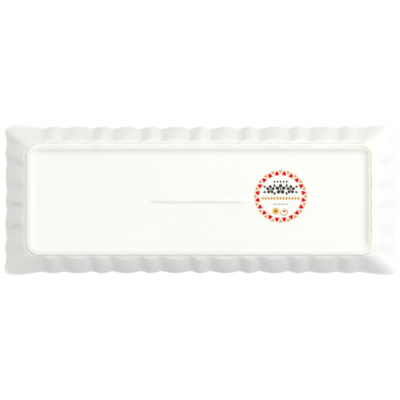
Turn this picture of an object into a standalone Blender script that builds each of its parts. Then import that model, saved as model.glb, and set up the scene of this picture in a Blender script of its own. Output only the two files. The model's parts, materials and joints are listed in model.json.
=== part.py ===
"""A narrow serving platter of fluted porcelain, with its glaze and its fired-on enamel mark.

Metres, +Z up, the platter the right way up: its foot ring stands on z = 0 and its length runs
along X. The origin is under the middle of the platter, on the plane that the foot stands on.

Every surface is a stack of closed loops round the platter. A Section says where a loop lies in
the cross-section, and a Station says where a point of it lies round the outline.
"""

import math
from collections import namedtuple

import bmesh
import bpy
from mathutils import Vector

MM = 0.001

# The whole platter.
LENGTH = 360 * MM
WIDTH = 138 * MM
HEIGHT = 22 * MM

# The foot ring: its outer outline, and the smallest corner radius inside it.
FOOT_LENGTH = 317 * MM
FOOT_WIDTH = 102.4 * MM
FOOT_CORNER = 12 * MM
INNER_CORNER = 5 * MM
CREST_OUTER = 2.4 * MM
CREST_INNER = 3.8 * MM

# Levels: the recess inside the foot, the ledge round it, and the floor of the well.
RECESS_LEVEL = 2.4 * MM
LEDGE_LEVEL = 2.9 * MM
LEDGE_WIDTH = 2.4 * MM
WELL_LEVEL = 5.9 * MM
WELL_EDGE = 5.0 * MM

# The glaze: its thickness, and the gap that keeps two touching solids apart.
GLAZE = 0.25 * MM
GAP = 0.05 * MM

# Flutes, from the middle of a side outwards: the narrow and the wide ones take turns.
NARROW_FLUTE = 18 * MM
WIDE_FLUTE = 27 * MM
LONG_SIDE_FLUTES = [NARROW_FLUTE] + [WIDE_FLUTE, NARROW_FLUTE] * 3
SHORT_SIDE_FLUTES = [NARROW_FLUTE * 0.96, WIDE_FLUTE * 0.96, NARROW_FLUTE * 0.96]
LAST_LONG_VALLEY = sum(LONG_SIDE_FLUTES) - LONG_SIDE_FLUTES[0] / 2
LAST_SHORT_VALLEY = sum(SHORT_SIDE_FLUTES) - SHORT_SIDE_FLUTES[0] / 2
SHORT_SIDE_FAN = 0.86
FLUTE_STEPS = 4

# How far the valleys between the flutes lie inside the platter's box, and how far flutes swell.
LONG_VALLEY_MIDDLE = 3.8 * MM
LONG_VALLEY_END = 2.8 * MM
SHORT_VALLEY_MIDDLE = 2.2 * MM
SHORT_VALLEY_END = 1.7 * MM
LONG_SWELL_MIDDLE = 2.2 * MM
LONG_SWELL_END = 1.4 * MM
SHORT_SWELL = 1.5 * MM

# Each corner flares into an ear, whose tip is a quarter of a superellipse.
EAR_X = 11 * MM
EAR_Y = 5.6 * MM
EAR_POWER = 2.5
EAR_LONG_STEPS = 4
EAR_SHORT_STEPS = 2
EAR_TIP_STEPS = 4

# The stiffening rib under the well.
RIB_LENGTH = 92 * MM
RIB_WIDTH = 6.4 * MM
RIB_HEIGHT = 1.3 * MM
RIB_CENTRE = Vector((-2.3 * MM, 1.0 * MM))

# The enamel mark in the recess, drawn as it is seen from below, where -Y is up.
MARK_CENTRE = Vector((73.0 * MM, -2.5 * MM))
ENAMEL = 0.12 * MM
BORDER_REPEATS = 20

# Across the wall, the distance from the ledge to the rim that the glaze's offset reckons with.
WALL_RUN = 12 * MM

# share: 0 on the foot and the ledge, up to 1 at the rim. out: outwards from there. z: height.
Section = namedtuple("Section", "share out z")

# foot: place on the foot's outline. rim: point of the rim, its flutes left out. swell: how far
# the flute stands out there. coarse: whether the foot's loops have a point here, and rib: the rib's.
Station = namedtuple("Station", "foot rim swell coarse rib")


def smooth(t):
    return t * t * (3 - 2 * t)


def mix(a, b, t):
    return a + (b - a) * t


# ---------------------------------------------------------------- outlines


def flute_height(t):
    """Height of a flute across its width: 0 in the valleys, 1 on the crown."""
    arch = 4 * t * (1 - t)
    wave = 0.5 - 0.5 * math.cos(2 * math.pi * t)
    return mix(arch, wave, 0.4)


def flute_points(widths):
    """(distance from the side's middle, height, whether it is a valley), up to the last valley."""
    edge = -widths[0] / 2
    points = []
    for width in widths:
        for step in range(FLUTE_STEPS):
            distance = edge + width * step / FLUTE_STEPS
            if distance > -MM / 2:
                points.append((distance, flute_height(step / FLUTE_STEPS), step == 0))
        edge += width
    return points + [(edge, 0.0, True)]


def foot_place(distance):
    """Place on the foot's outline of a point this far along it from the short side's middle."""
    straight = FOOT_WIDTH / 2 - FOOT_CORNER
    if distance <= straight:
        return distance / straight
    return 1 + (distance - straight) / (FOOT_CORNER * math.pi / 2)


def foot_point(place, out):
    """Point of the foot's outline, moved outwards: place 0-1 short side, 1-2 corner, 2-3 long."""
    half_x = FOOT_LENGTH / 2 + out
    half_y = FOOT_WIDTH / 2 + out
    radius = max(FOOT_CORNER + out, INNER_CORNER)
    if place <= 1:
        return Vector((half_x, place * (half_y - radius)))
    if place <= 2:
        angle = (place - 1) * math.pi / 2
        corner = Vector((half_x - radius, half_y - radius))
        return corner + radius * Vector((math.cos(angle), math.sin(angle)))
    return Vector(((3 - place) * (half_x - radius), half_y))


def short_side_stations():
    stations = []
    for distance, height, valley in flute_points(SHORT_SIDE_FLUTES):
        along = (distance / LAST_SHORT_VALLEY) ** 2
        inset = mix(SHORT_VALLEY_MIDDLE, SHORT_VALLEY_END, along)
        place = foot_place(distance * SHORT_SIDE_FAN)
        rim = Vector((LENGTH / 2 - inset, distance))
        coarse = valley or distance < MM or place > 0.8
        stations.append(Station(place, rim, SHORT_SWELL * height, coarse, distance < MM))
    return stations


def long_side_stations():
    straight = FOOT_LENGTH / 2 - FOOT_CORNER
    stations = []
    for distance, height, valley in flute_points(LONG_SIDE_FLUTES):
        along = (distance / LAST_LONG_VALLEY) ** 2
        rim = Vector((distance, WIDTH / 2 - mix(LONG_VALLEY_MIDDLE, LONG_VALLEY_END, along)))
        swell = mix(LONG_SWELL_MIDDLE, LONG_SWELL_END, along) * height
        place = 3 - distance / straight
        stations.append(Station(place, rim, swell, valley or distance < MM, valley))
    return stations[::-1]


def corner_stations(before, after):
    """The ear between the last valley of the short side and the last one of the long side."""
    centre = Vector((LENGTH / 2 - EAR_X, WIDTH / 2 - EAR_Y))
    points = []
    for step in range(1, EAR_SHORT_STEPS):
        t = step / EAR_SHORT_STEPS
        inset = SHORT_VALLEY_END * (1 - smooth(t))
        points.append(Vector((LENGTH / 2 - inset, mix(before.rim.y, centre.y, t))))
    for step in range(EAR_TIP_STEPS + 1):
        angle = step / EAR_TIP_STEPS * math.pi / 2
        east = math.cos(angle) ** (2 / EAR_POWER) if step < EAR_TIP_STEPS else 0.0
        north = math.sin(angle) ** (2 / EAR_POWER)
        points.append(centre + Vector((EAR_X * east, EAR_Y * north)))
    tip = EAR_SHORT_STEPS - 1 + EAR_TIP_STEPS // 2
    for step in range(1, EAR_LONG_STEPS):
        t = step / EAR_LONG_STEPS
        inset = LONG_VALLEY_END * smooth(t)
        points.append(Vector((mix(centre.x, after.rim.x, t), WIDTH / 2 - inset)))
    stations = []
    for index, point in enumerate(points):
        if index <= tip:
            place = mix(before.foot, 1.5, (index + 1) / (tip + 1))
        else:
            place = mix(1.5, after.foot, (index - tip) / (len(points) - tip))
        stations.append(Station(place, point, 0.0, True, False))
    return stations


def quarter_stations():
    """Stations from the middle of the short side at +X to the middle of the long side at +Y."""
    short = short_side_stations()
    long = long_side_stations()
    return short + corner_stations(short[-1], long[0]) + long


def whole_round(quarter):
    """The quarter's stations mirrored into all four, each with the signs of its quarter."""
    whole = [(item, 1, 1) for item in quarter]
    whole += [(item, -1, 1) for item in quarter[-2::-1]]
    whole += [(item, -1, -1) for item in quarter[1:]]
    whole += [(item, 1, -1) for item in quarter[-2:0:-1]]
    return whole


STATIONS = whole_round(quarter_stations())


def plan_point(station, section):
    """Where a station's point of a loop lies in plan, in the first quarter."""
    if section.share == 0:
        return foot_point(station.foot, section.out)
    start = foot_point(station.foot, LEDGE_WIDTH)
    outwards = (station.rim - start).normalized()
    rise = 0.5 * smooth(min(section.share / 0.15, 1)) + 0.5 * section.share
    return start.lerp(station.rim, section.share) + outwards * (section.out + station.swell * rise)


# ---------------------------------------------------------------- cross-section

WALL_MIDDLE = mix(LEDGE_LEVEL, HEIGHT, 0.46)
LIP = 1.3 * MM

# The glazed surface from the outside of the bare crest, up the wall and over into the well.
OUTER_GLAZED = [
    Section(0, -1.8 * MM, 0.2 * MM),
    Section(0, -0.8 * MM, 0.85 * MM),
    Section(0, -0.1 * MM, 1.95 * MM),
    Section(0, 0.7 * MM, LEDGE_LEVEL - 0.25 * MM),
    Section(0, LEDGE_WIDTH, LEDGE_LEVEL),
    Section(0.1, 0, LEDGE_LEVEL + 0.75 * MM),
    Section(0.25, 0, LEDGE_LEVEL + 3.5 * MM),
    Section(0.5, 0, WALL_MIDDLE),
    Section(1, 0, HEIGHT - LIP),
    Section(1, -0.75 * MM, HEIGHT),
    Section(1, -2.15 * MM, HEIGHT),
    Section(1, -2.9 * MM, HEIGHT - LIP),
    Section(0.5, -3.5 * MM, WALL_MIDDLE + 0.3 * MM),
    Section(0.1, -4.2 * MM, WELL_LEVEL + 0.8 * MM),
    Section(0, -WELL_EDGE, WELL_LEVEL),
]

# The glazed surface from the inside of the bare crest to the flat floor of the recess.
RECESS_GLAZED = [
    Section(0, -4.4 * MM, 0.2 * MM),
    Section(0, -5.4 * MM, 0.75 * MM),
    Section(0, -6.4 * MM, 1.45 * MM),
    Section(0, -8.0 * MM, 2.1 * MM),
    Section(0, -10.5 * MM, RECESS_LEVEL),
]

CREST = [Section(0, -CREST_INNER, 0.0), Section(0, -CREST_OUTER, 0.0)]

# The rib, as (share of its length, share of its width, drop below the recess's floor).
RIB_LEVELS = [(1.0, 1.0, 0.0), (0.9, 0.6, 0.6 * RIB_HEIGHT), (0.78, 0.2, RIB_HEIGHT)]


def flat_place(section):
    """The section as a point of a flat drawing: outwards and up."""
    run = LEDGE_WIDTH + section.share * WALL_RUN if section.share else 0
    return Vector((run + section.out, section.z))


def sunk(profile, depth):
    """The profile moved into the porcelain by a depth, measured at right angles to it.

    Walking along a profile as these are listed, from the foot up and over the rim, the
    porcelain is on the left.
    """
    flat = [flat_place(section) for section in profile]
    moved = []
    for index, section in enumerate(profile):
        sides = []
        for a, b in ((index - 1, index), (index, index + 1)):
            if a >= 0 and b < len(flat):
                along = (flat[b] - flat[a]).normalized()
                sides.append(Vector((-along.y, along.x)))
        normal = sum(sides, Vector((0, 0))).normalized()
        stretch = depth / max(normal.dot(sides[0]), 0.5)
        moved.append(
            Section(section.share, section.out + normal.x * stretch, section.z + normal.y * stretch)
        )
    return moved


# ---------------------------------------------------------------- loops and skins


def add_loop(bm, section):
    """One loop of vertices as (place round the outline, vertex). Loops on the foot are coarser."""
    loop = []
    for index, (station, sign_x, sign_y) in enumerate(STATIONS):
        if section.share or station.coarse:
            point = plan_point(station, section)
            loop.append((index, bm.verts.new((point.x * sign_x, point.y * sign_y, section.z))))
    return loop


def add_rib_loop(bm, length_share, width_share, z):
    """One loop round the rib, which keeps its width until it narrows to its two ends."""
    loop = []
    for index, (station, sign_x, sign_y) in enumerate(STATIONS):
        if station.rib:
            end = station.foot < 1
            along = 1.0 if end else station.rim.x / (LAST_LONG_VALLEY + NARROW_FLUTE / 2)
            across = 0.0 if end else (1 - along * along) ** 0.3
            x = RIB_CENTRE.x + sign_x * along * length_share * RIB_LENGTH / 2
            y = RIB_CENTRE.y + sign_y * across * width_share * RIB_WIDTH / 2
            loop.append((index, bm.verts.new((x, y, z))))
    return loop


def bridge(bm, first, second):
    """Faces between two loops that may differ in how many vertices they have."""
    total = len(STATIONS)
    i = j = 0
    while i < len(first) or j < len(second):
        next_i = first[i + 1][0] if i + 1 < len(first) else first[0][0] + total
        next_j = second[j + 1][0] if j + 1 < len(second) else second[0][0] + total
        a, b = first[i % len(first)][1], second[j % len(second)][1]
        if i < len(first) and j < len(second) and next_i == next_j:
            c = second[(j + 1) % len(second)][1]
            d = first[(i + 1) % len(first)][1]
            bm.faces.new((a, b, c, d))
            i += 1
            j += 1
        elif j == len(second) or (i < len(first) and next_i < next_j):
            bm.faces.new((a, b, first[(i + 1) % len(first)][1]))
            i += 1
        else:
            bm.faces.new((a, b, second[(j + 1) % len(second)][1]))
            j += 1


def fill(bm, loop):
    bm.faces.new([vertex for _, vertex in loop])


def skin(bm, profile):
    """Loops along a profile, bridged. It gives back the first and the last of them."""
    loops = [add_loop(bm, section) for section in profile]
    for first, second in zip(loops, loops[1:]):
        bridge(bm, first, second)
    return loops[0], loops[-1]


def rib_skin(bm, edge, level):
    """The recess's floor inside a loop, with the rib standing down from it."""
    for length_share, width_share, drop in RIB_LEVELS:
        loop = add_rib_loop(bm, length_share, width_share, level - drop)
        bridge(bm, edge, loop)
        edge = loop
    fill(bm, edge)


# ---------------------------------------------------------------- objects


def material(name, colour, roughness, metallic=0.0):
    made = bpy.data.materials.new(name)
    made.use_nodes = True
    shader = made.node_tree.nodes["Principled BSDF"]
    shader.inputs["Base Color"].default_value = (*colour, 1)
    shader.inputs["Roughness"].default_value = roughness
    shader.inputs["Metallic"].default_value = metallic
    return made


def make_object(name, bm, finish):
    bmesh.ops.recalc_face_normals(bm, faces=bm.faces)
    mesh = bpy.data.meshes.new(name)
    bm.to_mesh(mesh)
    bm.free()
    mesh.shade_smooth()
    mesh.set_sharp_from_angle(angle=math.radians(40))
    mesh.materials.append(finish)
    made = bpy.data.objects.new(name, mesh)
    bpy.context.scene.collection.objects.link(made)
    return made


def make_body(finish):
    """The fired porcelain: one solid with its wall, rim, foot ring and rib."""
    bm = bmesh.new()
    depth = GLAZE + GAP
    outer = sunk(OUTER_GLAZED, depth)
    inner = sunk(RECESS_GLAZED[::-1], depth)
    first, last = skin(bm, inner + CREST + outer)
    rib_skin(bm, first, RECESS_LEVEL + depth)
    fill(bm, last)
    return make_object("porcelain_body", bm, finish)


def make_outer_glaze(finish):
    """The glaze from the foot's outside, over the rim, to all of the well."""
    bm = bmesh.new()
    shown_edge, shown_end = skin(bm, OUTER_GLAZED)
    under_edge, under_end = skin(bm, sunk(OUTER_GLAZED, GLAZE))
    bridge(bm, shown_edge, under_edge)
    fill(bm, shown_end)
    fill(bm, under_end)
    return make_object("glaze_coat_outer", bm, finish)


def make_recess_glaze(finish):
    """The glaze inside the foot ring, over the recess and its rib."""
    bm = bmesh.new()
    shown = RECESS_GLAZED[::-1]
    shown_floor, shown_edge = skin(bm, shown)
    under_floor, under_edge = skin(bm, sunk(shown, GLAZE))
    bridge(bm, shown_edge, under_edge)
    rib_skin(bm, shown_floor, RECESS_LEVEL)
    rib_skin(bm, under_floor, RECESS_LEVEL + GLAZE)
    return make_object("glaze_coat_recess", bm, finish)


# ---------------------------------------------------------------- the enamel mark


def mark_place(x, y):
    """World plan of a point of the mark, given in millimetres right of and above its middle."""
    return MARK_CENTRE.x + x * MM, MARK_CENTRE.y - y * MM


def raised(bm, name, finish):
    """Thickens a flat figure, which lies on the glaze, downwards into a solid."""
    result = bmesh.ops.extrude_face_region(bm, geom=list(bm.faces), use_keep_orig=True)
    lower = [item for item in result["geom"] if isinstance(item, bmesh.types.BMVert)]
    bmesh.ops.translate(bm, verts=lower, vec=(0, 0, -ENAMEL))
    return make_object(name, bm, finish)


def band(name, edges, finish, closed):
    """A flat band between pairs of points, as ((x, y), (x, y)), closed into a ring or open."""
    bm = bmesh.new()
    top = RECESS_LEVEL - GAP
    rungs = [[bm.verts.new((*mark_place(*point), top)) for point in pair] for pair in edges]
    following = rungs[1:] + rungs[:1] if closed else rungs[1:]
    for (a, b), (d, c) in zip(rungs, following):
        bm.faces.new((a, b, c, d))
    return raised(bm, name, finish)


def plate(name, outline, finish):
    """A flat figure with one outline."""
    bm = bmesh.new()
    top = RECESS_LEVEL - GAP
    bm.faces.new([bm.verts.new((*mark_place(*point), top)) for point in outline])
    return raised(bm, name, finish)


def polar(radius, degrees, centre=(0, 0)):
    angle = math.radians(degrees)
    return centre[0] + radius * math.sin(angle), centre[1] + radius * math.cos(angle)


def make_red_border(finish):
    """A ring of petals that point outwards, on a fine line."""
    line_inner, line_outer, tip, half_angle = 19.4, 19.65, 23.1, 5.2
    pitch = 360 / BORDER_REPEATS
    petal = [(-1, 0), (-0.72, 0.5), (0, 1), (0.72, 0.5), (1, 0)]
    edges = []
    for repeat in range(BORDER_REPEATS):
        for across, height in petal:
            degrees = (repeat + 0.5) * pitch + across * half_angle
            edges.append((polar(line_inner, degrees), polar(mix(line_outer, tip, height), degrees)))
    return band("mark_red_border", edges, finish, closed=True)


def make_gold_border(finish):
    """A ring of drops that hang inwards, on a fine line."""
    line_outer, line_inner, tip, half_angle = 23.9, 23.6, 21.0, 4.0
    pitch = 360 / BORDER_REPEATS
    drop = [(-1, 0), (-0.6, 0.55), (0, 1), (0.6, 0.55), (1, 0)]
    edges = []
    for repeat in range(BORDER_REPEATS):
        for across, height in drop:
            degrees = repeat * pitch + across * half_angle
            edges.append((polar(mix(line_inner, tip, height), degrees), polar(line_outer, degrees)))
    return band("mark_gold_border", edges, finish, closed=True)


def make_garland(finish):
    """A branch of pointed leaves to each side of a middle flower."""
    half_length, leaves, stem = 14.0, 5, 0.25
    steps = [(0.0, 0.0), (0.35, 0.8), (0.7, 1.0), (0.9, 0.35)]
    edges = []
    for leaf in range(leaves):
        for t, height in steps:
            x = half_length * (leaf + t) / leaves
            middle = 5.2 + 2.0 * (x / half_length) ** 2
            size = 4.4 if leaf == 0 else 3.4 - 0.45 * leaf
            reach = stem + height * size
            edges.append(((x, middle - 0.75 * reach), (x, middle + reach)))
    edges.append(((half_length, 7.1), (half_length, 7.4)))
    left = [((-low[0], low[1]), (-high[0], high[1])) for low, high in edges[:0:-1]]
    return band("mark_garland", left + edges, finish, closed=False)


def make_row(name, half_length, beads, middle, reach, line, finish):
    """A row of lozenges strung on a fine line."""
    edges = []
    for step in range(2 * beads + 1):
        x = half_length * (step / beads - 1)
        high = reach if step % 2 else line
        edges.append(((x, middle - high), (x, middle + high)))
    return band(name, edges, finish, closed=False)


FLOWER_CENTRE = (-4.3, -13.2)


def make_flower(finish):
    inner, valley, tip, petals, steps = 1.2, 2.3, 3.5, 6, 6
    edges = []
    for step in range(petals * steps):
        degrees = 360 * step / (petals * steps)
        reach = mix(valley, tip, abs(math.sin(math.radians(degrees * petals / 2))) ** 0.7)
        edges.append((polar(inner, degrees, FLOWER_CENTRE), polar(reach, degrees, FLOWER_CENTRE)))
    return band("mark_flower", edges, finish, closed=True)


def make_flower_eye(finish):
    outline = [polar(1.1, 360 * step / 14, FLOWER_CENTRE) for step in range(14)]
    return plate("mark_flower_eye", outline, finish)


def make_tendril(finish):
    """A fine stem from the flower that curls round under the bud."""
    centre, steps, half_width = (3.2, -14.0), 18, 0.25
    edges = []
    for step in range(steps + 1):
        t = step / steps
        degrees = mix(285, -50, t)
        radius = mix(3.6, 2.4, t)
        edges.append(
            (polar(radius - half_width, degrees, centre), polar(radius + half_width, degrees, centre))
        )
    return band("mark_tendril", edges, finish, closed=False)


def make_bud(finish):
    """A pointed bud lying over the tendril's curl."""
    half_length, half_width, centre = 2.2, 0.7, (3.0, -13.6)
    outline = []
    for step in range(12):
        angle = 2 * math.pi * step / 12
        x = half_length * math.cos(angle)
        y = half_width * math.sin(angle) * abs(math.sin(angle)) ** 0.4
        outline.append((centre[0] + x, centre[1] + y))
    return plate("mark_bud", outline, finish)


def make_mark():
    red = material("red_enamel", (0.72, 0.004, 0.012), 0.25)
    gold = material("gold_enamel", (0.70, 0.42, 0.12), 0.35)
    yellow = material("yellow_gold_enamel", (0.90, 0.52, 0.05), 0.3)
    dark = material("dark_enamel", (0.035, 0.032, 0.028), 0.35)
    grey = material("grey_enamel", (0.32, 0.32, 0.33), 0.4)
    brown = material("brown_enamel", (0.22, 0.09, 0.02), 0.35)
    make_red_border(red)
    make_gold_border(gold)
    make_garland(dark)
    make_row("mark_bead_row", 6.2, 7, 12.9, 0.55, 0.1, grey)
    make_row("mark_lozenge_band", 16.4, 15, -1.5, 1.35, 0.12, gold)
    make_row("mark_rule", 7.0, 9, -6.9, 0.35, 0.12, grey)
    make_flower(yellow)
    make_flower_eye(brown)
    make_tendril(gold)
    make_bud(red)


def main():
    for old in list(bpy.data.objects):
        bpy.data.objects.remove(old)
    make_body(material("bisque_porcelain", (0.86, 0.80, 0.72), 0.6))
    glaze = material("white_glaze", (0.93, 0.93, 0.915), 0.1)
    make_outer_glaze(glaze)
    make_recess_glaze(glaze)
    make_mark()


main()
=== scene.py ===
import json
import math

import bmesh
import bpy
import numpy as np
from mathutils import Matrix, Vector


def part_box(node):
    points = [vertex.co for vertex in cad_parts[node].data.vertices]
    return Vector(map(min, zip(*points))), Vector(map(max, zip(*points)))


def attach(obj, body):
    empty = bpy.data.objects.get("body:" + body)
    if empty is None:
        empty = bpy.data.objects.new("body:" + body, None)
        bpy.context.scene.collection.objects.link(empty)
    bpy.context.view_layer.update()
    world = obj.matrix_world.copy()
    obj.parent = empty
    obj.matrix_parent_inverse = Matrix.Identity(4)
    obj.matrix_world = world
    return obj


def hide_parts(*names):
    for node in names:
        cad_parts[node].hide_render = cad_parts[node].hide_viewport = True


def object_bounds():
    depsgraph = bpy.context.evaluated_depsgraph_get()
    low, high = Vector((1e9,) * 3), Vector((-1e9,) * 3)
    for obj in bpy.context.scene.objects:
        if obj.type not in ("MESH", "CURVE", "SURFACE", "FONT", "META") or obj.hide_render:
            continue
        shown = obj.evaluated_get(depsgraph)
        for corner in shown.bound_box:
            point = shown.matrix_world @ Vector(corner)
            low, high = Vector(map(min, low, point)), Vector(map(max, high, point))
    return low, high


# The looks of a fluted porcelain platter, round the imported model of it. Metres, +Z up.
# Every surface is a grid: rows are loops round the platter, columns are the stations of a loop.

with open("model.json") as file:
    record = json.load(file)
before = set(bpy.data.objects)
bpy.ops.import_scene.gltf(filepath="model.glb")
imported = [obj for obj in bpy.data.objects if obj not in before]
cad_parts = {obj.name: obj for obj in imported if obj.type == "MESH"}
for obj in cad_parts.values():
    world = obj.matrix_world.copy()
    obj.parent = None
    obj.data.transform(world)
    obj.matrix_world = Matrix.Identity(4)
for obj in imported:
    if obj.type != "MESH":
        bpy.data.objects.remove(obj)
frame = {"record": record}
cad_low, cad_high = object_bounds()

MM = 0.001

# ---------------------------------------------------------------- sizes read from the frame

HALF_LENGTH = cad_high.x
HALF_WIDTH = cad_high.y
HEIGHT = cad_high.z
MOUNTS = {mount["name"]: Vector(mount["pos_m"]) for mount in frame["record"]["mounts"]}
WELL_LEVEL = MOUNTS["well_floor"].z
CREST_MIDDLE = 3.1 * MM
FOOT_HALF_WIDTH = -MOUNTS["foot_ring_face"].y + CREST_MIDDLE
RECESS_EDGE = 4.3 * MM
FOOT_HALF_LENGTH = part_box("glaze_coat_recess")[1].x + RECESS_EDGE
RECESS_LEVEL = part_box("mark_rule")[1].z + 0.05 * MM
MARK_CENTRE = sum(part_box("mark_gold_border"), Vector()) / 2
MARK_RADIUS = (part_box("mark_gold_border")[1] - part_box("mark_gold_border")[0]).x / 2

# ---------------------------------------------------------------- the CAD's own shape rules

FOOT_CORNER = 12 * MM
INNER_CORNER = 5 * MM
LEDGE_LEVEL = 2.9 * MM
LEDGE_WIDTH = 2.4 * MM
WALL_RUN = 12 * MM
WALL_MIDDLE = LEDGE_LEVEL + 0.46 * (HEIGHT - LEDGE_LEVEL)

NARROW_FLUTE = 18 * MM
WIDE_FLUTE = 27 * MM
SHORT_SIDE_SHRINK = 0.96
SHORT_SIDE_FAN = 0.86
LONG_SIDE_FLUTES = [NARROW_FLUTE] + [WIDE_FLUTE, NARROW_FLUTE] * 3
SHORT_SIDE_FLUTES = [width * SHORT_SIDE_SHRINK for width in (NARROW_FLUTE, WIDE_FLUTE, NARROW_FLUTE)]
LAST_LONG_VALLEY = sum(LONG_SIDE_FLUTES) - NARROW_FLUTE / 2
LAST_SHORT_VALLEY = sum(SHORT_SIDE_FLUTES) - SHORT_SIDE_FLUTES[0] / 2

LONG_VALLEY_MIDDLE, LONG_VALLEY_END = 3.8 * MM, 2.8 * MM
SHORT_VALLEY_MIDDLE, SHORT_VALLEY_END = 2.2 * MM, 1.7 * MM
LONG_SWELL_MIDDLE, LONG_SWELL_END = 2.2 * MM, 1.4 * MM
SHORT_SWELL = 1.5 * MM
EAR_X, EAR_Y, EAR_POWER = 11 * MM, 5.6 * MM, 2.5

RIB_CENTRE = Vector((-2.3 * MM, 1.0 * MM))
RIB_HALF_LENGTH = 46 * MM
RIB_HALF_WIDTH = 3.3 * MM
RIB_HEIGHT = 1.3 * MM
RIB_TAPER = 10 * MM

# ---------------------------------------------------------------- what only the looks need

STATION_SPACING = 1.25 * MM
VALLEY_SOFTNESS = 1
GLAZE = 0.22 * MM
BODY_DEPTH = 0.25 * MM
LIP_RADIUS = 1.45 * MM
CREST_WOBBLE = 0.45 * MM

# Where the flutes begin beside the foot, over what distance, and how full they are there and midway.
FLUTE_START = -2.25 * MM
FLUTE_BEGIN = 2.8 * MM
FLUTE_AT_FOOT = 1.1
FLUTE_MIDDLE = 1.15

# How far the foot of the wall is drawn in under the valleys of each side.
LONG_PULL = 1.5 * MM
SHORT_PULL = 0.75 * MM
CORNER_PULL = 0.1 * MM

WARP = 0.05 * MM
ENAMEL = 0.035 * MM
ENAMEL_SUNK = 0.01 * MM
BORDER_REPEATS = 20

# The steps of the loops that fill the floors of the well and the recess, and of those inside the
# glaze, which are coarser. The recess has finer ones near its middle line, where the rib is.
FLOOR_TURN = 6 * MM
WELL_START = -6.6 * MM
WELL_STEP, UNDER_WELL_STEP = 4 * MM, 8 * MM
RECESS_STEP, RECESS_FINE = 3 * MM, 0.45 * MM
UNDER_RECESS_STEP, UNDER_RECESS_FINE = 6 * MM, 0.9 * MM
CREST_GAP = 0.02 * MM


def mix(a, b, t):
    return a + (b - a) * t


def smooth(t):
    t = np.clip(t, 0, 1)
    return t * t * (3 - 2 * t)


# ---------------------------------------------------------------- outlines


def flute_height(distance, widths):
    """Height of the flutes at distances from a side's middle: 0 in the valleys, 1 on the crowns."""
    edges = np.cumsum([-widths[0] / 2] + widths)
    flute = np.clip(np.searchsorted(edges, distance, side="right") - 1, 0, len(widths) - 1)
    t = (distance - edges[flute]) / (edges[flute + 1] - edges[flute])
    arch = 4 * t * (1 - t)
    wave = 0.5 - 0.5 * np.cos(2 * math.pi * t)
    return np.clip(mix(arch, wave, 0.4), 0, 1)


def foot_place(distance):
    """Place on the foot's outline this far along it: 0-1 short side, 1-2 corner, 2-3 long side."""
    straight = FOOT_HALF_WIDTH - FOOT_CORNER
    round_part = 1 + (distance - straight) / (FOOT_CORNER * math.pi / 2)
    return np.where(distance <= straight, distance / straight, round_part)


def foot_points(place, out):
    """Points of the foot's outline at some places, moved outwards, in the first quarter."""
    half_x, half_y = FOOT_HALF_LENGTH + out, FOOT_HALF_WIDTH + out
    radius = min(max(FOOT_CORNER + out, INNER_CORNER), half_y)
    short = np.clip(place, 0, 1)
    angle = (np.clip(place, 1, 2) - 1) * math.pi / 2
    long = np.clip(3 - place, 0, 1)
    x = np.where(place > 2, long * (half_x - radius), half_x - radius + radius * np.cos(angle))
    y = np.where(place < 1, short * (half_y - radius), half_y - radius + radius * np.sin(angle))
    return np.stack([x, y], axis=1)


def quarter_outline():
    """Columns place, rim x, rim y and swell, from the short side's middle to the long side's."""
    steps = round(LAST_SHORT_VALLEY / STATION_SPACING)
    d = np.linspace(0, LAST_SHORT_VALLEY, steps + 1)
    inset = mix(SHORT_VALLEY_MIDDLE, SHORT_VALLEY_END, (d / LAST_SHORT_VALLEY) ** 2)
    swell = SHORT_SWELL * flute_height(d, SHORT_SIDE_FLUTES)
    short = np.stack([foot_place(d * SHORT_SIDE_FAN), HALF_LENGTH - inset, d, swell], axis=1)

    steps = round(LAST_LONG_VALLEY / STATION_SPACING)
    d = np.linspace(LAST_LONG_VALLEY, 0, steps + 1)
    along = (d / LAST_LONG_VALLEY) ** 2
    y = HALF_WIDTH - mix(LONG_VALLEY_MIDDLE, LONG_VALLEY_END, along)
    swell = mix(LONG_SWELL_MIDDLE, LONG_SWELL_END, along) * flute_height(d, LONG_SIDE_FLUTES)
    place = 3 - d / (FOOT_HALF_LENGTH - FOOT_CORNER)
    long = np.stack([place, d, y, swell], axis=1)

    ear_x, ear_y = HALF_LENGTH - EAR_X, HALF_WIDTH - EAR_Y
    corner_places = [short[-1, 0], mix(short[-1, 0], 1.5, 0.5), 1.5, mix(1.5, long[0, 0], 1 / 3)]
    corner_places.append(long[0, 0])
    t = np.arange(1, 10) / 10
    x = HALF_LENGTH - SHORT_VALLEY_END * (1 - smooth(t))
    first = [mix(*corner_places[0:2], t), x, mix(LAST_SHORT_VALLEY, ear_y, t), 0 * t]
    t = np.arange(0, 33) / 32
    east = np.cos(t * math.pi / 2).clip(0) ** (2 / EAR_POWER)
    north = np.sin(t * math.pi / 2) ** (2 / EAR_POWER)
    place = np.interp(t, [0, 0.5, 1], corner_places[1:4])
    tip = [place, ear_x + EAR_X * east, ear_y + EAR_Y * north, 0 * t]
    t = np.arange(1, 20) / 20
    y = HALF_WIDTH - LONG_VALLEY_END * smooth(t)
    last = [mix(*corner_places[3:5], t), mix(ear_x, LAST_LONG_VALLEY, t), y, 0 * t]
    corner = [np.stack(columns, axis=1) for columns in (first, tip, last)]
    return np.concatenate([short, *corner, long])


def whole_round(points):
    """The first quarter's points mirrored into all four, in order round the platter."""
    parts = [points, points[-2::-1] * (-1, 1), points[1:] * (-1, -1), points[-2:0:-1] * (1, -1)]
    return np.concatenate(parts)


def soften(values, reach):
    """Closed loops of values, each evened out with its neighbours on both sides."""
    weights = np.cos(np.linspace(-1, 1, 2 * reach + 3) * math.pi / 2)[1:-1] ** 2
    total = sum(w * np.roll(values, k - reach, axis=0) for k, w in enumerate(weights))
    return total / weights.sum()


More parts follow.
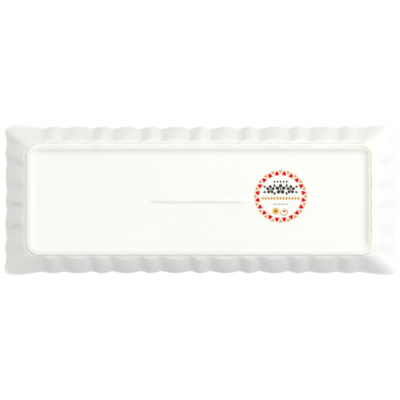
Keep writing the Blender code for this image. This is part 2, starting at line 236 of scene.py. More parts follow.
QUARTER = quarter_outline()
PLACE = QUARTER[:, 0]
RIM = soften(whole_round(QUARTER[:, 1:3]), 2)
LEDGE = soften(whole_round(foot_points(PLACE, LEDGE_WIDTH)), 2)
SWELL = whole_round(np.stack([QUARTER[:, 3]] * 2, axis=1))
SWELL = soften(np.abs(SWELL[:, :1]), VALLEY_SOFTNESS)
OUTWARDS = (RIM - LEDGE) / np.linalg.norm(RIM - LEDGE, axis=1, keepdims=True)
STATIONS = len(RIM)


def flute_pull():
    """How far the foot of the wall is drawn in under the valleys: least round the corners."""
    x, y = np.abs(LEDGE).T
    on_long = smooth((FOOT_HALF_LENGTH - 2 * MM - x) / (9 * MM))
    on_short = smooth((FOOT_HALF_WIDTH - 4 * MM - y) / (9 * MM))
    sides = LONG_PULL * on_long * (1 - on_short) + SHORT_PULL * on_short * (1 - on_long)
    return np.maximum(sides, CORNER_PULL)[:, None]


PULL = flute_pull()


def wobble(seed, waves):
    """A smooth uneven value for each station, about -1 to 1, that closes on itself."""
    rng = np.random.default_rng(seed)
    turn = np.arange(STATIONS) / STATIONS * 2 * math.pi
    total = np.zeros(STATIONS)
    for wave in waves:
        total += np.sin(wave * turn + rng.uniform(0, 2 * math.pi)) * rng.uniform(0.5, 1.0)
    return total[:, None] / np.abs(total).max()


# The bare strip on the foot's crest is cut unevenly by the glaze from both sides.
CREST_CUTS = (wobble(3, (5, 11, 19, 37, 61, 97)), wobble(8, (4, 9, 23, 41, 67, 103)))


def plan(share, out, cut=0.0, side=0):
    """Plan of a loop: a share of the way from ledge to rim, and a way outwards from the ledge."""
    moved = out - cut * CREST_WOBBLE * (0.55 + 0.45 * CREST_CUTS[side])
    plain = whole_round(foot_points(PLACE, LEDGE_WIDTH + out)) + OUTWARDS * (moved - out)
    begun = smooth((share * WALL_RUN + out - FLUTE_START) / FLUTE_BEGIN)
    fuller = mix(FLUTE_AT_FOOT, 1, share) + FLUTE_MIDDLE * share * (1 - share)
    swollen = SWELL * fuller - PULL * (1 - share)
    tied = mix(plain, LEDGE + OUTWARDS * out, smooth(share / 0.1))
    return tied + (RIM - LEDGE) * share + OUTWARDS * swollen * begun


# ---------------------------------------------------------------- cross-section

# Rows of (share of the wall, millimetres outwards from the ledge line, millimetres up, cut).
# cut is how much the row follows the uneven edge of the glaze on the crest.
FOOT_OUTSIDE = [
    (0, -4.90, 0.03, 1), (0, -4.72, 0.05, 0.9), (0, -4.3, 0.09, 0.6), (0, -3.75, 0.17, 0.2),
    (0, -3.27, 0.36, 0), (0, -2.94, 0.88, 0), (0, -2.74, 1.58, 0), (0, -2.56, 2.14, 0),
    (0, -2.3, 2.46, 0), (0, -1.95, 2.6, 0), (0, -1.5, 2.67, 0), (0, -1.0, 2.74, 0),
    (0, -0.55, 2.88, 0), (0.014, -0.22, 3.14, 0), (0.036, -0.03, 3.52, 0), (0.065, 0, 4.0, 0),
    (0.1, 0, 4.59, 0), (0.14, 0, 5.28, 0), (0.19, 0, 6.12, 0), (0.25, 0, 7.17, 0),
    (0.32, 0, 8.42, 0), (0.4, 0, 9.88, 0),
]
WALL_OUTSIDE = [0.5, 0.65, 0.78, 0.88, 0.94]
WALL_INSIDE = [0.92, 0.84, 0.72, 0.58, 0.44, 0.32, 0.22]
WELL_EDGE = [
    (0.155, -4.05, 7.6, 0), (0.1, -4.35, 6.85, 0), (0.055, -4.85, 6.36, 0), (0.02, -5.6, 6.08, 0),
    (0, -6.6, 5.95, 0), (0, -7.7, 5.905, 0), (0, -9.0, 5.9, 0),
]
FOOT_INSIDE = [
    (0, -6.35, 0.03, -1), (0, -6.6, 0.05, -0.8), (0, -7.1, 0.11, -0.4), (0, -7.65, 0.25, -0.1),
    (0, -8.15, 0.5, 0), (0, -8.65, 0.84, 0), (0, -9.2, 1.22, 0), (0, -9.8, 1.57, 0),
    (0, -10.5, 1.88, 0), (0, -11.3, 2.11, 0), (0, -12.2, 2.26, 0), (0, -13.2, 2.35, 0),
    (0, -14.3, 2.39, 0), (0, -15.5, 2.4, 0),
]


def wall_height(share):
    """Height of the outside of the wall, in millimetres."""
    return (WALL_MIDDLE + (HEIGHT - LEDGE_LEVEL) * 0.943 * (share - 0.5)) / MM


def outer_rows():
    rows = list(FOOT_OUTSIDE)
    rows += [(share, 0, wall_height(share), 0) for share in WALL_OUTSIDE]
    radius = LIP_RADIUS / MM
    for degrees in range(-28, 209, 18):
        angle = math.radians(degrees)
        up = HEIGHT / MM - radius + radius * math.sin(angle)
        rows.append((1, radius * math.cos(angle) - radius, up, 0))
    for share in WALL_INSIDE:
        below = WALL_INSIDE[0] - share
        rows.append((share, -2.95 - 1.35 * below, wall_height(share) + 0.75 * below, 0))
    return rows + WELL_EDGE


def refined(rows, parts):
    """The rows with a smooth curve drawn through them, and this many parts between two of them."""
    rows = np.array(rows, float)
    padded = np.concatenate([2 * rows[:1] - rows[1:2], rows, 2 * rows[-1:] - rows[-2:-1]])
    made = []
    for index in range(len(rows) - 1):
        a, b, c, d = padded[index : index + 4]
        for part in range(parts):
            t = part / parts
            line = 2 * b + (c - a) * t + (2 * a - 5 * b + 4 * c - d) * t**2
            made.append((line + (3 * b - a - 3 * c + d) * t**3) / 2)
    made = np.array(made + [rows[-1]])
    made[:, 0] = np.clip(made[:, 0], 0, 1)
    made[:, 1:3] *= MM
    return made


def sunk(rows, depth):
    """The rows moved into the porcelain, which lies on the left of them, by a depth."""
    flat = np.stack([rows[:, 0] * WALL_RUN + rows[:, 1], rows[:, 2]], axis=1)
    along = np.gradient(flat, axis=0)
    along /= np.linalg.norm(along, axis=1, keepdims=True)
    moved = rows.copy()
    moved[:, 1] -= along[:, 1] * depth
    moved[:, 2] += along[:, 0] * depth
    return moved


OUTER = refined(outer_rows(), 3)
INNER = refined(FOOT_INSIDE, 3)
INNER[:, 2] *= RECESS_LEVEL / INNER[-1, 2]


# ---------------------------------------------------------------- grids and skins


def warp(x, y):
    """The slight unevenness of a large fired surface."""
    long_wave = np.sin(x * 31 + 0.6) * np.cos(y * 38 - 0.4)
    short_wave = np.sin(x * 83 + y * 47 + 1.1) * 0.35
    return WARP * (long_wave + short_wave)


def rib_height(x, y):
    across = np.clip(np.abs(y - RIB_CENTRE.y) / RIB_HALF_WIDTH, 0, 1)
    along = np.clip((RIB_HALF_LENGTH - np.abs(x - RIB_CENTRE.x)) / RIB_TAPER, 0, 1)
    return RIB_HEIGHT * (1 - across**2) ** 2 * smooth(along)


def recess_level(x, y):
    """Height of the glaze inside the foot ring, away from the ring itself."""
    edge = np.minimum(FOOT_HALF_LENGTH - np.abs(x), FOOT_HALF_WIDTH - np.abs(y))
    return RECESS_LEVEL + warp(x, y) * smooth((edge - 10 * MM) / (20 * MM)) - rib_height(x, y)


def well_level(x, y):
    edge = np.minimum(FOOT_HALF_LENGTH - np.abs(x), FOOT_HALF_WIDTH - np.abs(y))
    return WELL_LEVEL + warp(x, y) * smooth((edge - 6 * MM) / (20 * MM)) * 0.6


def loops(rows, side=0):
    """A grid of points for the rows of a cross-section."""
    grid = []
    for share, out, z, cut in rows:
        points = plan(share, out, cut, side)
        grid.append(np.column_stack([points, np.full(len(points), z)]))
    return np.array(grid)


def floor_loops(outs, level, lift=0.0):
    """A grid for a floor: loops that shrink towards its middle line, laid on a level."""
    grid = []
    for out in outs:
        points = whole_round(foot_points(PLACE, out))
        z = level(points[:, 0], points[:, 1]) + lift
        grid.append(np.column_stack([points, z]))
    return np.array(grid)


def down_to_middle(start, coarse, fine):
    """Ways inwards from the foot's outline, in coarse steps, and fine ones near the middle line."""
    turn = -FOOT_HALF_WIDTH + FLOOR_TURN
    first = np.linspace(start, turn, round((start - turn) / coarse) + 1)[1:]
    return [*first, *np.linspace(turn, -FOOT_HALF_WIDTH, round(FLOOR_TURN / fine) + 1)[1:]]


def skin_object(name, grids, material, **values):
    """One closed skin from grids of loops, which join on to each other and end in a middle line.

    Each of the values is a number for every vertex, which the material reads by its name.
    """
    rows = np.concatenate(grids)
    station = np.arange(STATIONS)
    following = (station + 1) % STATIONS
    faces = []
    for low in range(0, (len(rows) - 1) * STATIONS, STATIONS):
        high = low + STATIONS
        corners = [low + station, high + station, high + following, low + following]
        faces.append(np.stack(corners, axis=1))
    mesh = bpy.data.meshes.new(name)
    mesh.from_pydata(rows.reshape(-1, 3).tolist(), [], np.concatenate(faces).tolist())
    for key, numbers in values.items():
        attribute = mesh.attributes.new(key, "FLOAT", "POINT")
        attribute.data.foreach_set("value", np.asarray(numbers, np.float32).ravel())
    bm = bmesh.new()
    bm.from_mesh(mesh)
    bmesh.ops.remove_doubles(bm, verts=bm.verts, dist=0.002 * MM)
    bmesh.ops.recalc_face_normals(bm, faces=bm.faces)
    bm.to_mesh(mesh)
    bm.free()
    mesh.shade_smooth()
    mesh.materials.append(material)
    made = bpy.data.objects.new(name, mesh)
    bpy.context.scene.collection.objects.link(made)
    return made


def rides(made, node):
    """The piece stands in for one node of the model and moves with it."""
    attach(made, "root")
    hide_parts(node)


# ---------------------------------------------------------------- materials


class Nodes:
    """Short words for a material's nodes."""

    def __init__(self, name):
        self.material = bpy.data.materials.new(name)
        self.material.use_nodes = True
        self.tree = self.material.node_tree
        self.shader = self.tree.nodes["Principled BSDF"]
        self.place = self.add("ShaderNodeTexCoord").outputs["Object"]

    def add(self, kind, **settings):
        node = self.tree.nodes.new(kind)
        for key, value in settings.items():
            setattr(node, key, value)
        return node

    def link(self, source, target):
        self.tree.links.new(source, target)

    def noise(self, scale, detail=3.0):
        node = self.add("ShaderNodeTexNoise")
        node.inputs["Scale"].default_value = scale
        node.inputs["Detail"].default_value = detail
        node.inputs["Roughness"].default_value = 0.55
        self.link(self.place, node.inputs["Vector"])
        return node.outputs["Fac"]

    def attribute(self, name):
        return self.add("ShaderNodeAttribute", attribute_name=name).outputs["Fac"]

    def ramp(self, value, low, high, start=0.0, end=1.0):
        node = self.add("ShaderNodeMapRange", interpolation_type="SMOOTHSTEP")
        self.link(value, node.inputs["Value"])
        limits = {"From Min": low, "From Max": high, "To Min": start, "To Max": end}
        for socket, number in limits.items():
            node.inputs[socket].default_value = number
        return node.outputs["Result"]

    def product(self, a, b):
        node = self.add("ShaderNodeMath", operation="MULTIPLY")
        self.link(a, node.inputs[0])
        self.link(b, node.inputs[1])
        return node.outputs["Value"]

    def blend(self, fac, a, b):
        node = self.add("ShaderNodeMix", data_type="RGBA")
        self.link(fac, node.inputs["Factor"])
        sockets = [s for s in node.inputs if s.type == "RGBA"]
        for socket, value in zip(sockets, (a, b)):
            if isinstance(value, tuple):
                socket.default_value = (*value, 1)
            else:
                self.link(value, socket)
        return next(s for s in node.outputs if s.type == "RGBA")

    def bump(self, height, distance, strength, under=None):
        node = self.add("ShaderNodeBump")
        node.inputs["Strength"].default_value = strength
        node.inputs["Distance"].default_value = distance
        self.link(height, node.inputs["Height"])
        if under:
            self.link(under, node.inputs["Normal"])
        return node.outputs["Normal"]

    def finish(self, colour, roughness, normal, **plain):
        self.link(colour, self.shader.inputs["Base Color"])
        self.link(roughness, self.shader.inputs["Roughness"])
        self.link(normal, self.shader.inputs["Normal"])
        for socket, value in plain.items():
            self.shader.inputs[socket.replace("_", " ")].default_value = value
        return self.material


def glaze_material():
    """Clear glaze over white porcelain: a little uneven, warmer where thin, greyer in a pool, and
    with shade painted in spots on the wall at -X.
    """
    n = Nodes("clear_glaze_on_white")
    white = n.blend(n.ramp(n.noise(14, 2), 0.3, 0.7), (0.908, 0.912, 0.876), (0.922, 0.922, 0.896))
    fine = n.blend(n.ramp(n.noise(260, 4), 0.35, 0.65, 0.0, 0.35), white, (0.895, 0.895, 0.858))
    thin = n.blend(n.attribute("thin"), fine, (0.92, 0.905, 0.86))
    pooled = n.blend(n.attribute("pool"), thin, (0.865, 0.882, 0.855))
    patchy = n.product(n.attribute("stain"), n.ramp(n.noise(420, 4), 0.25, 0.5, 0.55, 1.0))
    stain_and_shade = n.blend(patchy, pooled, (0.81, 0.65, 0.45))
    # Painted shade: darker spots on the wall at -X, where the flanks of the flutes face away from the
    # light.
    uneven = n.product(n.attribute("smudge"), n.ramp(n.noise(300, 4), 0.3, 0.6, 0.5, 1.0))
    stain_and_shade = n.blend(uneven, stain_and_shade, (0.62, 0.60, 0.46))
    roughness = n.ramp(n.noise(90, 3), 0.3, 0.7, 0.10, 0.17)
    waves = n.bump(n.noise(55, 2), 0.00012, 0.35)
    peel = n.bump(n.noise(420, 3), 0.00002, 0.5, waves)
    return n.finish(stain_and_shade, roughness, peel, Coat_Weight=0.5, Coat_Roughness=0.04, IOR=1.5)


def bisque_material():
    """Bare fired porcelain, stained tan by handling and by the kiln."""
    n = Nodes("bare_bisque")
    stain = n.product(n.attribute("stain"), n.ramp(n.noise(320, 4), 0.3, 0.62))
    tan = n.blend(n.noise(900, 3), (0.68, 0.50, 0.30), (0.79, 0.64, 0.43))
    colour = n.blend(stain, (0.925, 0.908, 0.875), tan)
    grit = n.bump(n.noise(3500, 4), 0.00006, 0.6)
    return n.finish(colour, n.ramp(n.noise(1500), 0.3, 0.7, 0.55, 0.8), grit)


def enamel_material(name, colour, deeper):
    """Fired colour, printed in dots so fine that they only make it slightly uneven."""
    n = Nodes(name)
    printed = n.blend(n.ramp(n.noise(2600, 2), 0.3, 0.7), colour, deeper)
    darker = tuple(0.8 * part for part in colour)
    worn = n.blend(n.ramp(n.noise(500, 3), 0.55, 0.8, 0.0, 0.35), printed, darker)
    bump = n.bump(n.noise(1800, 3), 0.00001, 0.6)
    roughness = n.ramp(n.noise(700), 0.3, 0.7, 0.3, 0.42)
    return n.finish(worn, roughness, bump, Specular_IOR_Level=0.18)


# ---------------------------------------------------------------- the porcelain and its glaze

CREST_OUTER_EDGE = -4.9 * MM
CREST_INNER_EDGE = -6.35 * MM
STAIN_REACH_OUT = 0.2 * MM
STAIN_REACH_IN = 0.5 * MM
STAIN_INSIDE = 0.6
STAIN_UNDER_GLAZE = 0.1
STAIN_AT_INNER_EDGE = 0.65

# How many rows the thin or pooled glaze reaches to both sides of its middle row, and how strongly.
LIP_THIN_REACH, LIP_THIN = 13, 0.5
LEDGE_POOL_REACH, LEDGE_POOL = 12, 0.1
RECESS_POOL_REACH, RECESS_POOL = 12, 0.5
RECESS_POOL_PLACE = 0.75
LOW_ON_WALL = 0.2  # the ledge is looked for below this share of the wall


def stain_round():
    """How tan the foot is at each station: most at the end at +X, and some at two corners."""
    east, north = LEDGE[:, 0] / LEDGE[:, 0].max(), -LEDGE[:, 1] / LEDGE[:, 1].max()
    uneven = 0.5 + 0.5 * wobble(21, (2, 3, 7, 13, 29, 47))[:, 0]
    at_end = smooth((east - 0.93) / 0.06)
    top_right = smooth((east - 0.8) / 0.16) * smooth((north - 0.9) / 0.08)
    low_left = smooth((-east - 0.86) / 0.1) * smooth((-north - 0.2) / 0.8)
    along_top = smooth((north - 0.95) / 0.05) * smooth((uneven - 0.55) / 0.3)
    total = 0.04 + 0.08 * uneven + 0.78 * at_end + 0.6 * top_right + 0.3 * low_left
    return np.clip(total + 0.3 * along_top, 0, 1)


STAIN = stain_round()


def stain_beside_crest(rows):
    """The same stain on the glaze, thinning out to both sides of the crest."""
    out = rows[:, 1:2]
    beyond = np.where(out > CREST_OUTER_EDGE, (out - CREST_OUTER_EDGE) / STAIN_REACH_OUT,
                      (CREST_INNER_EDGE - out) / STAIN_REACH_IN)
    strong = smooth((STAIN - 0.3) / 0.5)
    strong = np.where(out > CREST_OUTER_EDGE, strong, STAIN_INSIDE * strong)
    return strong * (1 - smooth((beyond - 0.7) / 0.5)) * (rows[:, :1] <= 0)


# Shade painted on the wall at -X, in dark spots where the flanks of the flutes face away from the
# light: how far along the side in -Y, half length along the side, share of the wall, half length up
# the wall, strength. The rest of the glaze is far away from them.
PAINTED_SHADE_SPOTS = [
    (36.5 * MM, 1.4 * MM, 0.2, 0.09, 0.3), (14 * MM, 1.4 * MM, 0.18, 0.11, 0.4),
    (-4.5 * MM, 1.7 * MM, 0.32, 0.26, 0.45), (-26 * MM, 3.2 * MM, 0.4, 0.32, 0.32),
]
FAR_AWAY = 1000.0
INSIDE_OF_WALL = -3 * MM


def painted_wall_shade(rows):
    """How much shade is painted on the glaze, for each row and station."""
    total = np.zeros((len(rows), STATIONS))
    for along, half_along, share, half_share, strength in PAINTED_SHADE_SPOTS:
        beside = ((-RIM[:, 1] - along) / half_along) ** 2 + FAR_AWAY * (RIM[:, 0] > -EAR_X)
        above = ((rows[:, :1] - share) / half_share) ** 2
        above += FAR_AWAY * (rows[:, 1:2] < INSIDE_OF_WALL)
        total += strength * np.exp(-beside - above)
    return total


def closeness(rows, centre, reach):
    """1 on the row at this index, down to 0 this many rows away."""
    return np.clip(1 - np.abs(np.arange(rows) - centre) / reach, 0, 1)


def make_outer_glaze(material):
    shown = loops(OUTER)
    well = floor_loops(down_to_middle(WELL_START, WELL_STEP, WELL_STEP), well_level)
    under = loops(sunk(OUTER, GLAZE)[::3])
    under_outs = down_to_middle(WELL_START, UNDER_WELL_STEP, UNDER_WELL_STEP)
    under_well = floor_loops(under_outs, well_level, -GLAZE)
    grid = [under_well[::-1], under[::-1], shown, well]
    start = len(under_well) + len(under)
    seen = slice(start, start + len(OUTER))
    thin, pool, stain, smudge = np.zeros((4, sum(len(part) for part in grid), STATIONS))
    lip = np.argmax(OUTER[:, 2])
    thin[seen] = closeness(len(OUTER), lip, LIP_THIN_REACH)[:, None] ** 2 * LIP_THIN
    ledge = np.argmin(np.abs(OUTER[:, 2] - LEDGE_LEVEL) + 1.0 * (OUTER[:, 0] > LOW_ON_WALL))
    pool[seen] = closeness(len(OUTER), ledge, LEDGE_POOL_REACH)[:, None] * LEDGE_POOL
    stain[seen] = stain_beside_crest(OUTER)
    # Shade painted in spots on the wall at -X, on the flute flanks that face away from the light.
    smudge[seen] = painted_wall_shade(OUTER)
    values = {"thin": thin, "pool": pool, "stain": stain, "smudge": smudge}
    made = skin_object("glaze_outside_and_well", grid, material, **values)
    rides(made, "glaze_coat_outer")


def make_recess_glaze(material):
    shown = loops(INNER, 1)
    start = INNER[-1, 1] + LEDGE_WIDTH
    floor = floor_loops(down_to_middle(start, RECESS_STEP, RECESS_FINE), recess_level)
    under = loops(sunk(INNER[::-1], GLAZE)[::-1][::2], 1)
    under_outs = down_to_middle(start, UNDER_RECESS_STEP, UNDER_RECESS_FINE)
    under_floor = floor_loops(under_outs, recess_level, GLAZE)
    grid = [under_floor[::-1], under[::-1], shown, floor]
    first = len(under_floor) + len(under)
    seen = slice(first, first + len(INNER))
    thin, pool, stain = np.zeros((3, sum(len(part) for part in grid), STATIONS))
    pooled = closeness(len(INNER), len(INNER) * RECESS_POOL_PLACE, RECESS_POOL_REACH)
    pool[seen] = pooled[:, None] * RECESS_POOL
    stain[seen] = stain_beside_crest(INNER)
    made = skin_object("glaze_in_recess", grid, material, thin=thin, pool=pool, stain=stain)
    rides(made, "glaze_coat_recess")


def make_body(material):
    inner = loops(sunk(INNER[::-1], BODY_DEPTH)[::2], 1)
    outs = down_to_middle(INNER[-1, 1] + LEDGE_WIDTH, UNDER_RECESS_STEP, UNDER_RECESS_FINE)
    floor = floor_loops(outs, recess_level, BODY_DEPTH)
    edge_in = np.array([[0, INNER[0, 1] + CREST_GAP, 0, -1]])
    edge_out = np.array([[0, OUTER[0, 1] - CREST_GAP, 0, 1]])
    middle = np.array([[0, (INNER[0, 1] + OUTER[0, 1]) / 2, 0, 0]])
    crest = [loops(edge_in, 1), loops(middle), loops(edge_out)]
    outer = loops(sunk(OUTER, BODY_DEPTH)[::2])
    outs = down_to_middle(WELL_START, UNDER_WELL_STEP, UNDER_WELL_STEP)
    well = floor_loops(outs, well_level, -BODY_DEPTH)
    grid = [floor[::-1], inner, *crest, outer, well]
    stain = np.tile(STAIN, (sum(len(part) for part in grid), 1))
    first = len(floor) + len(inner)
    stain[:first] *= STAIN_UNDER_GLAZE
    stain[first] *= STAIN_AT_INNER_EDGE
    rides(skin_object("porcelain", grid, material, stain=stain), "porcelain_body")


# ---------------------------------------------------------------- the enamel mark


def laid(x, y, raise_by):
    """A point of the mark, in millimetres right of and above its middle as seen from below."""
    at = MARK_CENTRE.x + x * MM, MARK_CENTRE.y - y * MM
    return (*at, float(recess_level(*at)) - raise_by)


def patch_object(name, outlines, material, node):
    """Thin patches of enamel on the recess's glaze, each with one outline, as one piece."""
    bm = bmesh.new()
    for outline in outlines:
        top = [bm.verts.new(laid(x, y, -ENAMEL_SUNK)) for x, y in outline]
        low = [bm.verts.new(laid(x, y, ENAMEL)) for x, y in outline]
        bm.faces.new(top)
        bm.faces.new(low[::-1])
        for index in range(len(outline)):
            after = (index + 1) % len(outline)
            bm.faces.new((top[index], low[index], low[after], top[after]))
    bmesh.ops.recalc_face_normals(bm, faces=bm.faces)
    mesh = bpy.data.meshes.new(name)
    bm.to_mesh(mesh)
    bm.free()
    mesh.materials.append(material)
    made = bpy.data.objects.new(name, mesh)
    bpy.context.scene.collection.objects.link(made)
    rides(made, node)


def polar(radius, degrees, centre=(0, 0)):
    angle = math.radians(degrees)
    return centre[0] + radius * math.sin(angle), centre[1] + radius * math.cos(angle)


def ring_outline(inner, outer, first, last, steps=12):
    """The outline of a stretch of a ring."""
    there = [polar(outer, mix(first, last, step / steps)) for step in range(steps + 1)]
    back = [polar(inner, mix(last, first, step / steps)) for step in range(steps + 1)]
    return there + back


def petal_outline(base, tip, degrees, half_angle, fullness):
    """A petal on a circle, from one radius to another, widest at its base."""
    right = []
    for step in range(9):
        t = step / 8
        width = half_angle * (1 - t) ** fullness
        right.append((mix(base, tip, t), width))
    outline = [polar(radius, degrees + width) for radius, width in right]
    return outline + [polar(radius, degrees - width) for radius, width in right[-2::-1]]


def leaf_outline(root, direction, length, half_width):
    """A pointed leaf from its root, in a direction in degrees from straight up."""
    forward = polar(1, direction)
    side = (forward[1], -forward[0])
    sides = ([], [])
    for step in range(9):
        t = step / 8
        width = half_width * math.sin(math.pi * t**0.8) ** 0.9 if 0 < t < 1 else 0.0
        for sign, points in zip((1, -1), sides):
            if sign > 0 or 0 < t < 1:
                points.append((root[0] + forward[0] * length * t + side[0] * sign * width,
                               root[1] + forward[1] * length * t + side[1] * sign * width))
    return sides[0] + sides[1][::-1]


def lozenge(x, y, half_width, half_height):
    return [(x + half_width, y), (x, y + half_height), (x - half_width, y), (x, y - half_height)]


def disc(x, y, radius, steps=14):
    return [polar(radius, 360 * step / steps, (x, y)) for step in range(steps)]


def make_borders(red, gold):
    """Petals between two fine rings, with a drop between every two. All sizes in millimetres."""
    rim = MARK_RADIUS / MM
    ring_width = 0.17
    pitch = 360 / BORDER_REPEATS
    petals = []
    drops = []
    for repeat in range(BORDER_REPEATS):
        petals.append(petal_outline(19.6, 23.3, (repeat + 0.5) * pitch, 6.1, 0.5))
        drops.append(petal_outline(rim - 0.3, 20.7, repeat * pitch, 4.3, 0.68))
        for radius in (rim - 0.2, 19.3):
            first, last = (repeat + 0.01) * pitch, (repeat + 0.99) * pitch
            drops.append(ring_outline(radius, radius + ring_width, first, last))
    patch_object("mark_border_petals", petals, red, "mark_red_border")
    patch_object("mark_border_drops", drops, gold, "mark_gold_border")


def round_petal(centre, turn, distance, half_length, half_width):
    """An oval petal whose middle is this far from the flower's middle."""
    middle = polar(distance, turn, centre)
    forward = polar(1, turn)
    outline = []
    for step in range(16):
        along, across = polar(1, step * 22.5)
        along, across = along * half_length, across * half_width
        outline.append((middle[0] + forward[0] * along + forward[1] * across,
                        middle[1] + forward[1] * along - forward[0] * across))
    return outline


def blossom(centre, size):
    shapes = [disc(*centre, 0.85 * size)]
    for petal in range(5):
        shapes.append(round_petal(centre, petal * 72, 2.75 * size, 1.62 * size, 1.48 * size))
    return shapes


def make_garland(dark):
    """Three flowers in a row, with leaves between them and beside them."""
    shapes = blossom((0, 6.6), 1.1) + blossom((9.3, 6.3), 0.93) + blossom((-9.3, 6.3), 0.93)
    leaves = [(4.9, 8.3, 22, 3.6), (4.7, 4.0, 150, 3.2), (13.3, 8.2, 60, 3.0), (13.2, 4.6, 118, 3.0)]
    for side in (1, -1):
        for x, y, turn, length in leaves:
            shapes.append(leaf_outline((side * x, y), side * turn, length, 0.95))
    patch_object("mark_flower_garland", shapes, dark, "mark_garland")


def make_rows(grey, gold):
    beads = [lozenge(mix(-5.6, 5.6, step / 4), 13.4, 1.05, 1.35) for step in range(5)]
    patch_object("mark_upper_beads", beads, grey, "mark_bead_row")
    lozenges = [lozenge(mix(-16.2, 16.2, step / 12), -1.7, 1.25, 1.85) for step in range(13)]
    patch_object("mark_gold_lozenges", lozenges, gold, "mark_lozenge_band")
    dashes = [lozenge(mix(-6.0, 6.0, step / 5), -7.1, 1.0, 0.55) for step in range(6)]
    patch_object("mark_dashed_rule", dashes, grey, "mark_rule")


def make_flower(yellow, brown, gold, red):
    """A yellow flower beside a curled tendril with a bud in it."""
    centre = (-4.5, -13.3)
    petals = []
    for petal in range(6):
        turns = [petal * 60 + mix(-29.5, 29.5, step / 10) for step in range(11)]
        outer = [polar(2.95 + 0.4 * math.cos(math.radians(6 * turn)), turn, centre) for turn in turns]
        petals.append(outer + [polar(1.2, turn, centre) for turn in turns[::-1]])
    patch_object("mark_flower_petals", petals, yellow, "mark_flower")
    eye = [disc(*centre, 1.12, 20)]
    patch_object("mark_flower_middle", eye, brown, "mark_flower_eye")
    curl = (3.2, -14.0)
    edges = [[], []]
    for step in range(41):
        t = step / 40
        half_width = 0.46 * math.sin(math.pi * min(1, 0.12 + 0.88 * t)) ** 0.5
        for side, edge in zip((1, -1), edges):
            edge.append(polar(mix(3.6, 2.4, t) + side * half_width, mix(285, -50, t), curl))
    tendril = [edges[0] + edges[1][::-1]]
    patch_object("mark_curled_tendril", tendril, gold, "mark_tendril")
    bud = [leaf_outline((5.2, -13.4), 270, 4.2, 0.8)]
    patch_object("mark_red_bud", bud, red, "mark_bud")


def make_mark():
    red = enamel_material("fired_red", (0.76, 0.0, 0.010), (0.62, 0.0, 0.008))
    gold = enamel_material("fired_gold", (0.70, 0.41, 0.10), (0.62, 0.34, 0.07))
    yellow = enamel_material("fired_yellow_gold", (0.90, 0.50, 0.03), (0.82, 0.40, 0.02))
    dark = enamel_material("fired_black", (0.03, 0.028, 0.022), (0.06, 0.055, 0.045))
    grey = enamel_material("fired_grey", (0.10, 0.10, 0.10), (0.07, 0.07, 0.07))
    brown = enamel_material("fired_brown", (0.20, 0.08, 0.01), (0.13, 0.05, 0.01))
    make_borders(red, gold)
    make_garland(dark)
    make_rows(grey, gold)
    make_flower(yellow, brown, gold, red)


# ---------------------------------------------------------------- stage

VIEW_TILT_X = math.radians(0.4)
VIEW_TILT_Y = math.radians(1.8)
VIEW_DISTANCE = 1.8
VIEW_WIDTH = 0.3676
VIEW_AIM = Vector((-0.4 * MM, 0.1 * MM, HEIGHT))

WORLD_LIGHT = 0.20
WORLD_GLOSS = 0.42

FLOOR_HALF = 6.0
FLOOR_GAP = 0.4 * MM
FLOOR_COLOUR = (0.42, 0.42, 0.415, 1)
FLOOR_OWN_COLOUR = (1.0, 1.0, 0.99, 1)
FLOOR_OWN_LIGHT = 0.46

COOL = (0.932, 0.94, 1.0)
WARM = (1.0, 0.99, 0.97)
ROSY = (0.97, 0.955, 1.0)
PALE_GREEN = (0.92, 1.0, 0.60)
SKY_STRENGTH = 2.25
SKY_ANGLE = math.radians(45)
SKY_TURN = (math.radians(24), math.radians(14), 0)
LIGHT_DISTANCE = 1.75
LIGHT_SIZE = 0.9

# Degrees round from the end at +X towards -Y, degrees down from the table, power, colour.
UNDERSIDE_LIGHTS = [
    (0, 28, 12.1, COOL), (45, 28, 9.9, WARM), (135, 28, 7.6, ROSY), (315, 28, 6.4, COOL),
    (225, 28, 5.0, ROSY), (90, 28, 4.2, WARM), (270, 28, 0.8, COOL), (225, 52, 4.6, ROSY),
    (90, 52, 1.5, WARM), (135, 52, 1.4, WARM), (40, 62, 0.5, WARM), (200, 84, 2.4, PALE_GREEN),
]
FACE_LIGHTS = [(150, -62, 6.0, WARM)]

# The lights that may shine back from the glaze, by their two angles.
SHINING = (40, 62), (150, -62)


def matrix_of(right, up, back, place):
    columns = Matrix((right, up, back)).transposed().to_4x4()
    columns.translation = place
    return columns


def make_camera():
    """Under the platter, almost straight below it, as the underside is seen."""
    data = bpy.data.cameras.new("camera")
    data.sensor_width = 36
    data.lens = data.sensor_width * VIEW_DISTANCE / VIEW_WIDTH
    data.clip_start, data.clip_end = 0.1, 50
    camera = bpy.data.objects.new("camera", data)
    bpy.context.scene.collection.objects.link(camera)
    away = Vector((math.tan(VIEW_TILT_X), math.tan(VIEW_TILT_Y), -1)) * VIEW_DISTANCE
    camera.location = VIEW_AIM + away
    back = away.normalized()
    right = Vector((0, -1, 0)).cross(back).normalized()
    up = back.cross(right)
    camera.matrix_world = matrix_of(right, up, back, camera.location)
    bpy.context.scene.camera = camera


def soft_light(name, place, power, colour, shines):
    data = bpy.data.lights.new(name, "AREA")
    data.size = LIGHT_SIZE
    data.energy = power
    data.color = colour
    light = bpy.data.objects.new(name, data)
    bpy.context.scene.collection.objects.link(light)
    light.location = place
    light.rotation_euler = (-Vector(place)).to_track_quat("-Z", "Y").to_euler()
    light.visible_camera = False
    light.visible_glossy = shines


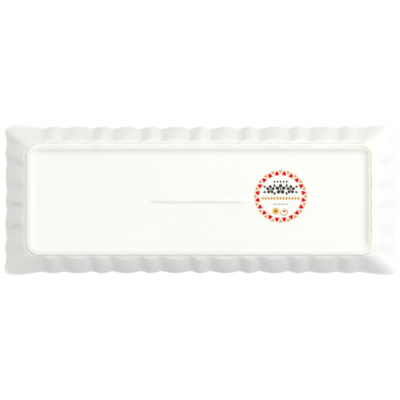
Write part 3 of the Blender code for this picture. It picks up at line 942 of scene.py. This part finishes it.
def make_world():
    """White to the eye, much dimmer as a light, and half bright in the glaze."""
    world = bpy.data.worlds.new("studio")
    bpy.context.scene.world = world
    world.use_nodes = True
    tree = world.node_tree
    background = tree.nodes["Background"]
    background.inputs["Color"].default_value = (1, 1, 1, 1)
    path = tree.nodes.new("ShaderNodeLightPath")
    glossy = tree.nodes.new("ShaderNodeMix")
    glossy.inputs["A"].default_value = WORLD_LIGHT
    glossy.inputs["B"].default_value = WORLD_GLOSS
    tree.links.new(path.outputs["Is Glossy Ray"], glossy.inputs["Factor"])
    seen = tree.nodes.new("ShaderNodeMix")
    seen.inputs["B"].default_value = 1.0
    tree.links.new(path.outputs["Is Camera Ray"], seen.inputs["Factor"])
    tree.links.new(glossy.outputs["Result"], seen.inputs["A"])
    tree.links.new(seen.outputs["Result"], background.inputs["Strength"])


def make_floor():
    """A pale table under the foot, clear from below so that the underside can be seen through it."""
    mesh = bpy.data.meshes.new("table_top")
    turns = ((-1, -1), (1, -1), (1, 1), (-1, 1))
    corners = [(x * FLOOR_HALF, y * FLOOR_HALF, 0) for x, y in turns]
    mesh.from_pydata(corners, [], [(0, 1, 2, 3)])
    table = bpy.data.objects.new("table_top", mesh)
    bpy.context.scene.collection.objects.link(table)
    table.location.z = -FLOOR_GAP
    material = bpy.data.materials.new("pale_table")
    material.use_nodes = True
    tree = material.node_tree
    surface = tree.nodes["Principled BSDF"]
    surface.inputs["Base Color"].default_value = FLOOR_COLOUR
    surface.inputs["Roughness"].default_value = 0.9
    surface.inputs["Specular IOR Level"].default_value = 0.1
    surface.inputs["Emission Color"].default_value = FLOOR_OWN_COLOUR
    surface.inputs["Emission Strength"].default_value = FLOOR_OWN_LIGHT
    side = tree.nodes.new("ShaderNodeNewGeometry")
    clear = tree.nodes.new("ShaderNodeBsdfTransparent")
    either = tree.nodes.new("ShaderNodeMixShader")
    tree.links.new(side.outputs["Backfacing"], either.inputs["Fac"])
    tree.links.new(surface.outputs["BSDF"], either.inputs[1])
    tree.links.new(clear.outputs["BSDF"], either.inputs[2])
    tree.links.new(either.outputs["Shader"], tree.nodes["Material Output"].inputs["Surface"])
    mesh.materials.append(material)
    table.visible_shadow = False
    table.visible_diffuse = False
    table.visible_glossy = False
    table.visible_transmission = False


def make_lights():
    """Large soft lights, most of them under the table for the underside."""
    for turn, down, power, colour in UNDERSIDE_LIGHTS + FACE_LIGHTS:
        name = f"softbox_{turn}_{down}"
        shines = (turn, down) in SHINING
        turn, down = math.radians(turn), math.radians(down)
        level = math.cos(down) * LIGHT_DISTANCE
        place = (level * math.cos(turn), -level * math.sin(turn), -math.sin(down) * LIGHT_DISTANCE)
        soft_light(name, place, power, colour, shines)
    sky = bpy.data.lights.new("soft_sky", "SUN")
    sky.energy, sky.angle = SKY_STRENGTH, SKY_ANGLE
    light = bpy.data.objects.new("soft_sky", sky)
    bpy.context.scene.collection.objects.link(light)
    light.rotation_euler = SKY_TURN
    light.visible_glossy = False


bpy.context.scene.view_settings.view_transform = "Standard"
make_camera()
make_world()
make_floor()
make_lights()

glaze = glaze_material()
make_outer_glaze(glaze)
make_recess_glaze(glaze)
make_body(bisque_material())
make_mark()
